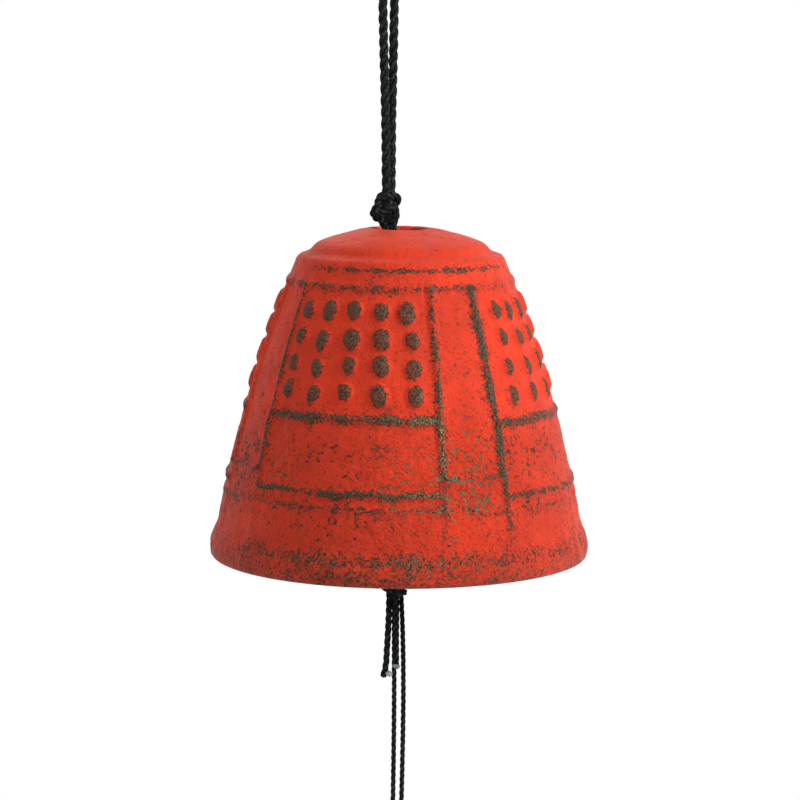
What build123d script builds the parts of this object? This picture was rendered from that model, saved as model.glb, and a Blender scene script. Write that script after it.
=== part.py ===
"""Furin wind bell: a cast iron temple-bell shape on a doubled cord, with clapper and paper strip.

Millimetres, +Z up. The origin is where a hook carries the hanging loop, and -Y is the front.
"""

import os
from math import acos, atan2, cos, degrees, radians, sin, sqrt, tan

from build123d import *

# Bell casting, radii and heights above the mouth plane unless named otherwise
mouth_diameter = 75.2
bell_height = 65.2
wall = 3.4
lip_thickness = 4.4
crown_thickness = 4.7
crown_hole_diameter = 10.5
crown_hole_round = 0.9
crown_rise = 2.9  # crown hole down to the turn of the dome
dome_rise = 5.2  # crown hole down to the foot of the dome
dome_turn_radius = 16.4
dome_middle_radius = 10.8
dome_middle_drop = 1.2  # crown hole down to the dome halfway
dome_foot_radius = 18.2
ledge_drop = 6.4  # crown hole down to the edge of the ledge
ledge_radius = 20.5
shoulder_drop = 10.4  # crown hole down to the shoulder ridge
shoulder_radius = 22.1
foot_height = 6.8
body_bulge = 1.25  # how far the wall bows out between shoulder and foot
rim_step = 1.6  # how far the rim stands out from the foot of the body
rim_face = 2.8
rim_round = 0.7
inner_land_radius = 11.5

# Cast relief: four bands between four panels of nubs
panel_count = 4
band_turn = 25.5  # first band, degrees from the front towards +X
band_half_angle = 11.0
shoulder_ridge_width = 2.2
shoulder_ridge_height = 0.4
upright_width = 2.0
upright_height = 0.6
upright_round = 0.45
upright_tail = 1.5  # how far an upright ridge runs on below the hem ridge
ridge_width = 1.9
ridge_height = 0.5
ridge_root = 1.0  # how deep ridges and nubs reach into the wall
panel_ridge_height = 30.0
hem_ridge_height = 16.2
band_end_height = 19.6
nub_columns = 5
nub_rows = 4
nub_top_gap = 4.2  # shoulder ridge down to the first row
nub_foot_gap = 5.4  # last row down to the ridge under the panel
nub_pitches = (11.5, 12.8, 12.8, 12.8)  # degrees between columns, panel by panel
nub_slips = (3.5, 0.0, 0.0, -2.4)  # degrees that each panel's nubs sit off its middle, as cast
nub_diameter = 4.4
nub_height = 0.7

# Cords, knots and what they carry
loop_cord_diameter = 1.8
cord_diameter = 1.3
thread_diameter = 1.0
hook_wire = 2.0
bight_leg = 3.6  # top of the loop down to where its legs run straight
bight_flat = 0.05  # cord that lies straight across the top of the hook
loop_drop = 48.0  # hook down to the crown hole
loop_azimuth = 142.0  # where the loop's right strand stands, degrees from the front towards +X
split_rise = 18.6  # crown hole up to where the two strands part
split_bend_share = 0.45  # of the shorter run, taken up by the bend where the strands part
leg_bend_share = 0.3  # the same, where they meet the bight
strand_clearance = 0.1
bell_x = 2.1  # the bell's axis, right of the hook
line_x = 1.0  # the clapper line, where the neck passes the crown hole
top_knot_x = -0.6
top_knot_rise = 6.0  # crown hole up to the top of the knot
top_knot_height = 6.5
top_knot_width = 6.4
top_knot_flat = 4.8  # across its flat ends
top_knot_leans = (16.0, -14.0)  # degrees that its turns of cord lean, upper and lower
bar_diameter = 3.0
bar_length = 18.0
bar_chamfer = 0.3
bar_clearance = 0.1
knot_clearance = 0.3
line_knot_height = 6.0
line_knot_width = 5.8
line_knot_leans = (-15.0, 15.0)
lower_knot_drop = 10.0  # mouth plane down to the end of the lower knot
lower_knot_height = 7.0
lower_knot_width = 5.8
lower_knot_leans = (12.0, -16.0)
clapper_diameter = 26.0
clapper_thickness = 3.0
clapper_clearance = 0.2
clapper_chamfer = 0.5

# Free movement, degrees either way
bell_swing = 20.0
clapper_swing = 20.5
sail_swing = 30.0

# Tails and paper strip, drops below the mouth plane
long_tail = (-0.1, -0.6, 25.2)  # x at the knot, x at the cut end, drop of the cut end
short_tail = (1.25, 1.35, 23.6)
left_thread = (1.0, 0.75)  # x at the lower knot, x at the strip knot
right_thread = (2.75, 2.45)
tail_front = 0.7
thread_back = 0.6
strip_knot_drop = 52.5
strip_knot_height = 3.4
strip_knot_width = 3.9
strip_knot_lean = 12.0
strip_drop = 58.5
strip_width = 40.0
strip_length = 110.0
strip_thickness = 0.4
strip_hole_diameter = 4.0
strip_hole_margin = 5.0
strip_corner = 1.0
strip_clearance = 0.2


def cap_radius(width, height):
    """Radius of the arc that stands this high over a chord this wide."""
    return (width**2 / 4 + height**2) / (2 * height)


# Places worked out from the sizes above
crown_z = -loop_drop
mouth_z = crown_z - bell_height
rim_radius = mouth_diameter / 2
hole_radius = crown_hole_diameter / 2
loop_radius = loop_cord_diameter / 2
cord_radius = cord_diameter / 2
thread_radius = thread_diameter / 2
loop_x = loop_radius + strand_clearance / 2
strand_x = cord_radius + strand_clearance / 2
ledge_height = bell_height - ledge_drop
shoulder_height = bell_height - shoulder_drop
foot_radius = rim_radius - rim_step
land_height = bell_height - crown_thickness
panel_angle = 360 / panel_count - 2 * band_half_angle

body_arc = SagittaArc((shoulder_radius, shoulder_height), (foot_radius, foot_height), body_bulge)
arc_x = body_arc.arc_center.X
arc_z = body_arc.arc_center.Y
arc_radius = body_arc.radius
shoulder_ridge_radius = cap_radius(shoulder_ridge_width, shoulder_ridge_height)
ridge_radius = cap_radius(ridge_width, ridge_height)
nub_sphere = cap_radius(nub_diameter, nub_height)

os.makedirs("parts", exist_ok=True)


def ground(height, depth=0.0):
    """Radius of the bell's plain outer surface, or of one depth below it."""
    return arc_x + sqrt((arc_radius - depth) ** 2 - (height - arc_z) ** 2)


def meridian(azimuth):
    """Plane through the Z axis: x is the radius at this azimuth, y the height above the mouth."""
    turn = radians(azimuth)
    return Plane((0, 0, 0), x_dir=(sin(turn), -cos(turn), 0), z_dir=(-cos(turn), -sin(turn), 0))


def surface_place(azimuth, height):
    """Location on the plain outer surface with its z axis along the surface's normal."""
    plane = meridian(azimuth)
    radius = ground(height)
    origin = plane.from_local_coords((radius, height, 0))
    outward = plane.from_local_coords((radius + radius - arc_x, height + height - arc_z, 0)) - origin
    return Location(Plane(origin, z_dir=outward))


def save(piece, name):
    """Label a finished piece and write its file."""
    piece.part.label = name
    export_step(piece.part, f"parts/{name}.step")


# One nub, standing on its own base
with BuildPart() as nub:
    with BuildSketch(Plane.XZ):
        with BuildLine():
            cap_angle = degrees(acos((nub_sphere - nub_height) / nub_sphere))
            CenterArc((0, nub_height - nub_sphere), nub_sphere, 90 - cap_angle, cap_angle)
            Line((nub_diameter / 2, 0), (nub_diameter / 2, -ridge_root))
            Line((nub_diameter / 2, -ridge_root), (0, -ridge_root))
            Line((0, -ridge_root), (0, nub_height))
        make_face()
    revolve(axis=Axis.Z)

# One upright ridge, in front: a slice of a shell that follows the wall, with its long edges rounded
upright_foot = hem_ridge_height - upright_tail
upright_middle = (shoulder_height + upright_foot) / 2
upright_angle = degrees(upright_width / ground(upright_middle))
upright_heights = (shoulder_height, upright_middle, upright_foot)
with BuildPart() as upright:
    with BuildSketch(meridian(-upright_angle / 2)):
        with BuildLine():
            face = ThreePointArc(*[(ground(height, -upright_height), height) for height in upright_heights])
            root = ThreePointArc(*[(ground(height, ridge_root), height) for height in upright_heights])
            Line(face @ 0, root @ 0)
            Line(face @ 1, root @ 1)
        make_face()
    revolve(axis=Axis.Z, revolution_arc=upright_angle)
    fillet(upright.edges().filter_by(GeomType.CIRCLE).sort_by(SortBy.RADIUS)[-2:], upright_round)

# Level ridges of one band and the panel after it, from the middle of one upright ridge to the next
ridge_depth = ridge_radius - ridge_height
with BuildPart() as level_ridges:
    for start, arc, height in (
        (0, 2 * band_half_angle, band_end_height),
        (2 * band_half_angle, panel_angle, panel_ridge_height),
        (2 * band_half_angle, panel_angle, hem_ridge_height),
    ):
        with BuildSketch(meridian(start)):
            with Locations((ground(height, ridge_depth), height)):
                Circle(ridge_radius)
        revolve(axis=Axis.Z, revolution_arc=arc)

# Bell: shell of revolution with its ridges and nubs
shoulder_ridge_depth = shoulder_ridge_radius - shoulder_ridge_height
middle_height = (shoulder_height + foot_height) / 2
shoulder_inner = (ground(shoulder_height, wall), shoulder_height)
middle_inner = (ground(middle_height, wall), middle_height)
foot_inner = (ground(foot_height, wall), foot_height)
lip_inner = (rim_radius - lip_thickness, 0)
dome_turn = (dome_turn_radius, bell_height - crown_rise)
dome_middle = (dome_middle_radius, bell_height - dome_middle_drop)
dome_foot = (dome_foot_radius, bell_height - dome_rise)
ledge = (ledge_radius, ledge_height)
first_row = shoulder_height - nub_top_gap
row_pitch = (first_row - panel_ridge_height - nub_foot_gap) / (nub_rows - 1)
panel_turns = [band_turn + panel * 360 / panel_count for panel in range(panel_count)]


def nub_places(panel_middle, pitch):
    """Locations of one panel's nubs, in rows between its two ridges."""
    columns = [panel_middle + (number - (nub_columns - 1) / 2) * pitch for number in range(nub_columns)]
    heights = [first_row - number * row_pitch for number in range(nub_rows)]
    return [surface_place(azimuth, height) for azimuth in columns for height in heights]


with BuildPart() as bell:
    with BuildSketch(meridian(90)):
        with BuildLine():
            dome = ThreePointArc((hole_radius, bell_height), dome_middle, dome_turn)
            TangentArc(dome_turn, dome_foot, tangent=dome % 1)
            Line(dome_foot, ledge)
            Line(ledge, (shoulder_radius, shoulder_height))
            add(body_arc)
            Line((foot_radius, foot_height), (rim_radius, rim_face))
            Line((rim_radius, rim_face), (rim_radius, 0))
            Line((rim_radius, 0), lip_inner)
            Line(lip_inner, foot_inner)
            ThreePointArc(foot_inner, middle_inner, shoulder_inner)
            TangentArc((inner_land_radius, land_height), shoulder_inner, tangent=(1, 0))
            Line((inner_land_radius, land_height), (hole_radius, land_height))
            Line((hole_radius, land_height), (hole_radius, bell_height))
        make_face()
        with Locations((ground(shoulder_height, shoulder_ridge_depth), shoulder_height)):
            Circle(shoulder_ridge_radius)
    revolve(axis=Axis.Z)
    mouth_edges = bell.edges().filter_by(GeomType.CIRCLE).group_by(Axis.Z)[0]
    fillet(mouth_edges.sort_by(SortBy.RADIUS)[-1], rim_round)
    fillet(bell.edges().filter_by(GeomType.CIRCLE).group_by(Axis.Z)[-1], crown_hole_round)
    for turn in panel_turns:
        with Locations(Rotation(0, 0, turn - band_half_angle), Rotation(0, 0, turn + band_half_angle)):
            add(upright.part)
        with Locations(Rotation(0, 0, turn - band_half_angle)):
            add(level_ridges.part)
    for turn, slip, pitch in zip(panel_turns, nub_slips, nub_pitches):
        with Locations(*nub_places(turn + 180 / panel_count + slip, pitch)):
            add(nub.part)
bell.part.locate(Location((bell_x, 0, mouth_z)))
save(bell, "bell")

# Hanging loop: one cord from the knot, over the hook and back to the knot
top_knot_top = crown_z + top_knot_rise
bight_radius = hook_wire / 2 + loop_radius
bight_top = loop_radius
bight_foot = bight_top - bight_leg
loop_points = [
    (-loop_x, top_knot_top),
    (-loop_x, crown_z + split_rise),
    (-bight_radius, bight_foot),
    (-bight_radius, bight_top),
    (bight_radius, bight_top),
    (bight_radius, bight_foot),
    (loop_x, crown_z + split_rise),
    (loop_x, top_knot_top),
]
bight_bend = bight_radius - bight_flat / 2


def bend_radius(before, corner, after, share):
    """Largest easy radius at a corner of a cord: this share of its shorter run."""
    first = Vector(*corner) - Vector(*before)
    second = Vector(*after) - Vector(*corner)
    turn = radians(first.get_angle(second))
    return share * min(first.length, second.length) / tan(turn / 2)


split_bend = bend_radius(*loop_points[0:3], split_bend_share)
leg_bend = bend_radius(*loop_points[1:4], leg_bend_share)
loop_radii = [split_bend, leg_bend, bight_bend, bight_bend, leg_bend, split_bend]
print("hanging loop bends", [round(radius, 2) for radius in loop_radii])
with BuildPart() as hanging_loop:
    with BuildLine(meridian(loop_azimuth)) as loop_path:
        FilletPolyline(*loop_points, radius=loop_radii)
    with BuildSketch(Plane(loop_path.line @ 0, z_dir=loop_path.line % 0)):
        Circle(loop_radius)
    sweep(path=loop_path.line)
save(hanging_loop, "hanging_loop")


def make_knot(name, place, width, height, flat_radius, turns):
    """A knot standing on its place: a barrel with flat ends, and turns of cord (rise, lean) round it."""
    middle = height / 2
    turn_radius = width / 2 - cord_radius
    belly_radius = width / 2 - cord_radius / 2
    with BuildPart() as knot:
        with BuildSketch(Plane.XZ):
            with BuildLine():
                Polyline((0, height), (0, 0), (flat_radius, 0))
                ThreePointArc((flat_radius, 0), (belly_radius, middle), (flat_radius, height))
                Line((flat_radius, height), (0, height))
            make_face()
        revolve(axis=Axis.Z)
        for rise, lean in turns:
            turn = Plane((0, 0, middle + rise)).rotated((0, lean, 0))
            with BuildSketch(Plane(turn.origin, x_dir=turn.x_dir, z_dir=turn.y_dir)):
                with Locations((turn_radius, 0)):
                    Circle(cord_radius)
            revolve(axis=Axis(turn.origin, turn.z_dir))
    knot.part.locate(Location(place))
    save(knot, name)


def two_turns(leans):
    """Two turns of cord that lie on each other across a knot's middle."""
    return ((cord_radius, leans[0]), (-cord_radius, leans[1]))


# Top knot, over the crown hole
top_knot_base = top_knot_top - top_knot_height
make_knot(
    "top_knot", (top_knot_x, 0, top_knot_base), top_knot_width, top_knot_height,
    top_knot_flat / 2, two_turns(top_knot_leans),
)

# Cross bar under the crown
bar_z = mouth_z + land_height - bar_clearance - bar_diameter / 2
with BuildPart() as cross_bar:
    with BuildSketch(Plane((bell_x, 0, bar_z), x_dir=(0, 1, 0), z_dir=(1, 0, 0))):
        Circle(bar_diameter / 2)
    extrude(amount=bar_length / 2, both=True)
    chamfer(cross_bar.edges(), bar_chamfer)
save(cross_bar, "cross_bar")

# Neck: the two strands pass the bar on either side, from the top knot to the line knot
wrap_radius = bar_diameter / 2 + cord_radius + strand_clearance / 2
neck_gap = (strand_x + cord_radius) * tan(radians(bell_swing)) + strand_clearance
neck_top = top_knot_base - neck_gap
line_knot_top = bar_z - bar_diameter / 2 - knot_clearance
neck_foot = line_knot_top + strand_clearance / 2
foot_y = bar_diameter / 2 + strand_clearance


def wrap_angle(y, z, side):
    """Angle round the bar, from +Y, where a strand through this point leaves the bar's curve."""
    reach = sqrt(y**2 + z**2)
    return atan2(z, y) - side * acos(wrap_radius / reach)


upper_angle = wrap_angle(strand_x, neck_top - bar_z, 1)
lower_angle = wrap_angle(foot_y, neck_foot - bar_z, -1)
upper_touch = Vector(wrap_radius * cos(upper_angle), bar_z + wrap_radius * sin(upper_angle))
lower_touch = Vector(wrap_radius * cos(lower_angle), bar_z + wrap_radius * sin(lower_angle))
neck_start = Vector(strand_x, neck_top)
neck_end = Vector(foot_y, neck_foot)
over_start = neck_start + (neck_start - upper_touch).normalized() * cord_radius
over_end = neck_end + (neck_end - lower_touch).normalized() * cord_radius
with BuildPart() as neck_strands:
    with BuildLine(Plane.YZ.offset(line_x)) as neck_path:
        Line((over_start.X, over_start.Y), (upper_touch.X, upper_touch.Y))
        CenterArc(
            (0, bar_z), wrap_radius, degrees(upper_angle), degrees(lower_angle - upper_angle)
        )
        Line((lower_touch.X, lower_touch.Y), (over_end.X, over_end.Y))
    with BuildSketch(Plane(neck_path.wire() @ 0, z_dir=neck_path.wire() % 0)):
        Circle(cord_radius)
    sweep(path=neck_path.wire())
    split(bisect_by=Plane.XY.offset(neck_top), keep=Keep.BOTTOM)
    split(bisect_by=Plane.XY.offset(neck_foot), keep=Keep.TOP)
    mirror(about=Plane.XZ)
save(neck_strands, "neck_strands")

# Line knot, under the bar
line_knot_base = line_knot_top - line_knot_height
make_knot(
    "line_knot", (line_x, 0, line_knot_base), line_knot_width, line_knot_height,
    foot_y + cord_radius, two_turns(line_knot_leans),
)

# Clapper line: two strands down through the clapper to the lower knot
line_gap = cord_radius * tan(radians(clapper_swing)) + strand_clearance
line_top = line_knot_base - line_gap
lower_knot_base = mouth_z - lower_knot_drop
lower_knot_top = lower_knot_base + lower_knot_height
with BuildPart() as clapper_line:
    with BuildSketch(Plane.XY.offset(lower_knot_top)):
        with Locations((line_x - strand_x, 0), (line_x + strand_x, 0)):
            Circle(cord_radius)
    extrude(amount=line_top - lower_knot_top)
save(clapper_line, "clapper_line")

# Clapper disc, lying on the lower knot
clapper_hole_radius = strand_x + cord_radius + clapper_clearance
with BuildPart() as clapper:
    with BuildSketch(Plane.XY.offset(lower_knot_top)):
        with Locations((line_x, 0)):
            Circle(clapper_diameter / 2)
            Circle(clapper_hole_radius, mode=Mode.SUBTRACT)
    extrude(amount=clapper_thickness)
    chamfer(clapper.faces().filter_by(GeomType.PLANE).edges(), clapper_chamfer)
save(clapper, "clapper")

# Lower knot, which carries the clapper
lower_flat = clapper_hole_radius + clapper_chamfer + cord_radius / 2
make_knot(
    "lower_knot", (line_x, 0, lower_knot_base), lower_knot_width, lower_knot_height,
    lower_flat, two_turns(lower_knot_leans),
)


def make_strand(name, start, end, radius):
    """A strand pulled straight between two points."""
    run = Vector(*end) - Vector(*start)
    with BuildPart() as strand:
        with BuildSketch(Plane(start, z_dir=run)):
            Circle(radius)
        extrude(amount=run.length)
    save(strand, name)


# Two cut tails and two threads, from the lower knot down
sail_gap = (tail_front + cord_radius) * tan(radians(sail_swing)) + strand_clearance
sail_top = lower_knot_base - sail_gap
strip_knot_top = mouth_z - strip_knot_drop
thread_end = strip_knot_top + strand_clearance
for name, (top_x, end_x, drop) in (("long_tail", long_tail), ("short_tail", short_tail)):
    make_strand(name, (top_x, -tail_front, sail_top), (end_x, -tail_front, mouth_z - drop), cord_radius)
for name, (top_x, end_x) in (("left_thread", left_thread), ("right_thread", right_thread)):
    make_strand(name, (top_x, thread_back, sail_top), (end_x, thread_back, thread_end), thread_radius)

# Strip knot, which gathers the two threads over the paper
strip_x = (left_thread[1] + right_thread[1]) / 2
strip_knot_base = strip_knot_top - strip_knot_height
make_knot(
    "strip_knot", (strip_x, thread_back, strip_knot_base), strip_knot_width, strip_knot_height,
    strip_x - left_thread[1] + thread_radius + strand_clearance / 2, ((0, strip_knot_lean),),
)

# Paper strip and the loop of thread through its hole
strip_top = mouth_z - strip_drop
hole_top = strip_top - strip_hole_margin
leg_y = strip_thickness / 2 + strip_clearance + thread_radius
loop_low = hole_top - strip_clearance - thread_radius
with BuildPart() as strip_loop:
    with BuildLine(Plane.YZ.offset(strip_x)) as strip_loop_path:
        Line((thread_back - leg_y, strip_knot_base), (thread_back - leg_y, loop_low + leg_y))
        CenterArc((thread_back, loop_low + leg_y), leg_y, 180, 180)
        Line((thread_back + leg_y, loop_low + leg_y), (thread_back + leg_y, strip_knot_base))
    with BuildSketch(Plane.XY.offset(strip_knot_base)):
        with Locations((strip_x, thread_back - leg_y)):
            Circle(thread_radius)
    sweep(path=strip_loop_path.wire())
save(strip_loop, "strip_loop")

with BuildPart() as paper_strip:
    with BuildSketch(Plane((strip_x, thread_back, strip_top), x_dir=(1, 0, 0), z_dir=(0, -1, 0))):
        with Locations((0, -strip_length / 2)):
            RectangleRounded(strip_width, strip_length, strip_corner)
        with Locations((0, -strip_hole_margin - strip_hole_diameter / 2)):
            Circle(strip_hole_diameter / 2, mode=Mode.SUBTRACT)
    extrude(amount=strip_thickness / 2, both=True)
save(paper_strip, "paper_strip")
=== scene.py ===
"""Furin wind bell: paint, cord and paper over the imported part, in metres and in the part's own frame."""

import math
import random

import bmesh
import bpy
from bpy.props import FloatProperty, FloatVectorProperty, IntProperty, PointerProperty
from mathutils import Matrix, Vector, kdtree, noise


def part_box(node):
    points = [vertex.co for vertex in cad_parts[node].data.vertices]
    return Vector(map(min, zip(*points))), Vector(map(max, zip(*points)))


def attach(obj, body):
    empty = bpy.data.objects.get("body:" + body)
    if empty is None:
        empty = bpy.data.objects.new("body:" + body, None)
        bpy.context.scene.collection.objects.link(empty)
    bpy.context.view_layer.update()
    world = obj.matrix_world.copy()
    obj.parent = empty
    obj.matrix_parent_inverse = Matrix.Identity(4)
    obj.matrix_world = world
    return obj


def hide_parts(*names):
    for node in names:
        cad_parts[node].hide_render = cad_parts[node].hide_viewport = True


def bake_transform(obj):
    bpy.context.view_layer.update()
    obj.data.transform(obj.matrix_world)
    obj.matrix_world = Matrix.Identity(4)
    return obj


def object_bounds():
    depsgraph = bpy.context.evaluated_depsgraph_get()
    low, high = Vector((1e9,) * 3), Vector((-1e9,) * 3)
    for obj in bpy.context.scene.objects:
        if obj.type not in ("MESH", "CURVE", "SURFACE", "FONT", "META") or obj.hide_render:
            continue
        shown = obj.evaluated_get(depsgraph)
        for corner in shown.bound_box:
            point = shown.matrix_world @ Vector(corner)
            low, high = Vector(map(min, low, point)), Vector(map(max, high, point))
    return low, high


bl_info = {
    "name": "Furin wind bell",
    "version": (1, 0, 0),
    "blender": (4, 5, 0),
    "location": "View3D > Sidebar > Furin",
    "description": "Paints the cast bell and makes its cords, knots and paper strip",
    "category": "Object",
}

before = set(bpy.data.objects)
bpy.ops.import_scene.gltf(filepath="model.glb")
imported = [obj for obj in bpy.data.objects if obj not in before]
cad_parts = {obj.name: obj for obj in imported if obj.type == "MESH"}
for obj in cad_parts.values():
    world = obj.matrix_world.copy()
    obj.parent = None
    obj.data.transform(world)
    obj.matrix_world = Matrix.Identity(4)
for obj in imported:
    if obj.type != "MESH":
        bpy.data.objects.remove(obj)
cad_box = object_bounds()

MM = 0.001
BELL_LOW, BELL_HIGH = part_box("bell")
BELL_AXIS = Vector(((BELL_LOW.x + BELL_HIGH.x) / 2, 0, BELL_LOW.z))

# Half section of the casting: radius, height above the mouth, spacing of the rings up to the next point, and bow
# of the run up to it, all in millimetres
SECTION = (
    (5.25, 60.5, 1.4, 0.0),
    (5.25, 64.3, 0.3, 0.0),
    (5.8, 64.8, 0.6, 0.0),
    (8.55, 64.3, 0.6, 0.0),
    (11.0, 63.65, 0.6, 0.0),
    (13.1, 63.05, 0.5, 0.0),
    (14.85, 62.5, 0.5, 0.0),
    (16.1, 62.0, 0.45, 0.0),
    (17.0, 61.35, 0.4, 0.0),
    (17.6, 60.6, 0.35, 0.0),
    (18.1, 60.15, 0.3, 0.0),
    (19.9, 59.55, 0.3, 0.0),
    (20.5, 58.85, 0.3, 0.0),
    (20.85, 57.9, 0.4, 0.0),
    (22.1, 54.8, 0.4, 1.25),
    (36.0, 6.8, 0.45, 0.0),
    (36.9, 4.8, 0.45, 0.0),
    (37.5, 3.3, 0.45, 0.0),
    (37.6, 2.3, 0.45, 0.0),
    (37.55, 0.6, 0.3, 0.0),
    (37.05, -0.25, 0.9, 0.0),
    (33.2, -0.25, 1.5, 0.0),
    (32.5, 6.8, 2.4, 1.25),
    (18.6, 54.8, 1.6, 0.6),
    (15.4, 59.2, 1.4, 0.3),
    (11.5, 60.5, 1.6, 0.0),
)
SHOULDER = (22.1, 54.8)
FOOT = (36.0, 6.8)
WALL_BOW = 1.25
WALL_OUTWARD = Vector((48.0, 0.0, 13.9)).normalized()

# Cast relief, millimetres above the mouth and degrees from the front towards +X. Bands and panels are counted from
# the front band and the right panel towards +X
BAND_TURN = 25.5
BAND_HALF = 11.0
BAND_END = 19.7
FRONT_BAND, LEFT_BAND = 0, 3
RIGHT_PANEL, BACK_PANEL, FRONT_PANEL = 0, 2, 3
LEDGE_EDGE = 58.0
RIM_LINE = 4.6
PANEL_RIDGES = (29.3, 30.0, 30.0, 30.5)
HEM_RIDGES = (15.6, 16.2, 16.2, 16.7)

# Level ridges of a panel: heights by panel, drop below them, share of the ridge height, half width of the wear
LEVEL_RIDGES = ((PANEL_RIDGES, 0.0, 1.0, 1.35), (HEM_RIDGES, 0.0, 0.95, 0.92), (HEM_RIDGES, 2.7, 0.35, 0.92))

# Wear of the upright ridges that the camera sees, by band and side: strength and half width
UPRIGHT_WEAR = {
    (FRONT_BAND, -1): (0.82, 1.15),
    (FRONT_BAND, 1): (1.12, 1.3),
    (LEFT_BAND, -1): (0.35, 0.7),
    (LEFT_BAND, 1): (0.9, 0.7),
}

# Nubs: first column and pitch by panel, rows, and half width and half height of a nub and of its rubbed cap
NUB_FIRST = (48.5, 134.9, 224.9, 312.5)
NUB_PITCH = (12.2, 12.8, 12.8, 12.95)
NUB_ROWS = (50.6, 45.7, 40.7, 35.4)
NUB_COLUMNS = 5
NUB_FIELD = (31.0, 54.0)
NUB_HALF = (2.05, 2.15)
CAP_HALF = (1.75, 2.1)

# How far nubs of the right and the front panel sit off the even spacing: columns of (across, down), in millimetres
NUB_PLACES = {
    0: (
        ((0.2, 0.6), (0.2, 0.45), (-0.05, 1.1), (-0.7, 1.2)),
        ((-0.9, 0.7), (0.2, 1.05), (0.3, 1.6), (0.05, 1.05)),
        ((-0.9, 0.7), (-0.2, 0.75), (0.9, 0.8), (0.9, 1.3)),
    ),
    3: (
        ((0.44, 0.46), (0.33, 0.41), (0.28, 0.52), (0.28, -0.09)),
        ((0.3, 0.28), (-0.04, 0.88), (-0.09, 1.0), (0.33, 0.63)),
        ((0.09, -0.1), (0.37, 0.45), (0.55, 0.21), (0.17, -0.3)),
        ((-0.04, 0.11), (0.43, 0.37), (0.51, 0.16), (0.46, 0.35)),
        ((-0.56, 0.4), (0.39, 0.46), (0.59, 0.74), (0.82, 0.49)),
    ),
}

# Where the paint ends in the crown hole, as heights, and on the face of the mouth, as radii
CROWN_PAINT = (63.4, 61.5)
MOUTH_PAINT = (33.4, 33.0)

# Attributes of the bell's points that its finish reads
BELL_LAYERS = ("wear", "grit", "bare", "glint", "cap")


class BellSettings(bpy.types.PropertyGroup):
    """The cast bell and its worn paint."""

    segments: IntProperty(name="Segments", description="Faces round the bell", default=400, min=48)
    shoulder_ridge: FloatProperty(
        name="Shoulder ridge", description="Height of the ridge round the shoulder", default=0.0004, unit="LENGTH"
    )
    upright_ridge: FloatProperty(
        name="Upright ridges", description="Height of the ridges beside the bands", default=0.0006, unit="LENGTH"
    )
    level_ridge: FloatProperty(
        name="Level ridges", description="Height of the ridges under the panels", default=0.0005, unit="LENGTH"
    )
    nub: FloatProperty(name="Nubs", description="Height of the cast nubs", default=0.0007, unit="LENGTH")
    lumps: FloatProperty(
        name="Lumps", description="How uneven the cast surface is", default=0.00018, unit="LENGTH", precision=6
    )
    tilt: FloatProperty(
        name="Tilt", description="How far the bell hangs down to the right", subtype="ANGLE",
        default=math.radians(0.3),
    )
    paint: FloatVectorProperty(
        name="Paint", description="Red paint", subtype="COLOR", default=(0.78, 0.047, 0.014), min=0, max=1
    )
    # Dark red for paint rubbed thin beside the wear and for dust in the grain; beside the wear it is partly painted
    # shade, darker paint on the slopes round the worn ridges and nubs
    paint_shade: FloatVectorProperty(
        name="Thin paint", description="Paint rubbed thin beside the wear", subtype="COLOR",
        default=(0.26, 0.034, 0.018), min=0, max=1,
    )
    metal: FloatVectorProperty(
        name="Worn iron", description="Iron where the paint is gone", subtype="COLOR",
        default=(0.042, 0.023, 0.014), min=0, max=1,
    )
    rust: FloatVectorProperty(
        name="Brown iron", description="Paler grains of the worn iron", subtype="COLOR",
        default=(0.100, 0.058, 0.034), min=0, max=1,
    )
    cap: FloatVectorProperty(
        name="Nub tops", description="Brown of the rubbed nubs", subtype="COLOR",
        default=(0.165, 0.047, 0.027), min=0, max=1,
    )
    # Painted highlight: bright golden grains where the light from the right catches the worn iron
    glint: FloatVectorProperty(
        name="Rubbed iron", description="Bright grains in the worn iron", subtype="COLOR",
        default=(0.30, 0.25, 0.13), min=0, max=1,
    )


class CordSettings(bpy.types.PropertyGroup):
    """The black cord and thread."""

    loop: FloatProperty(name="Loop", description="Diameter of the hanging cord", default=0.0018, unit="LENGTH")
    cord: FloatProperty(name="Cord", description="Diameter of the inner cord", default=0.0013, unit="LENGTH")
    thread: FloatProperty(name="Thread", description="Diameter of the thread", default=0.001, unit="LENGTH")
    loop_lay: FloatProperty(
        name="Loop lay", description="Length of one turn of the hanging cord's plies", default=0.0068, unit="LENGTH"
    )
    cord_lay: FloatProperty(
        name="Cord lay", description="Length of one turn of the inner cord's plies", default=0.0048, unit="LENGTH"
    )
    thread_lay: FloatProperty(
        name="Thread lay", description="Length of one turn of the thread's plies", default=0.0042, unit="LENGTH"
    )
    fibre: FloatVectorProperty(
        name="Fibre", description="Colour of the cord", subtype="COLOR", default=(0.009, 0.010, 0.009), min=0, max=1
    )
    worn_fibre: FloatVectorProperty(
        name="Pale fibre", description="Colour of the cord's raised fibres", subtype="COLOR",
        default=(0.058, 0.072, 0.068), min=0, max=1,
    )
    # Painted highlight: pale colour of the tail tips, for light glinting on the cut ends
    cut: FloatVectorProperty(
        name="Cut end", description="Colour of the sealed cut ends", subtype="COLOR",
        default=(0.40, 0.45, 0.45), min=0, max=1,
    )


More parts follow.
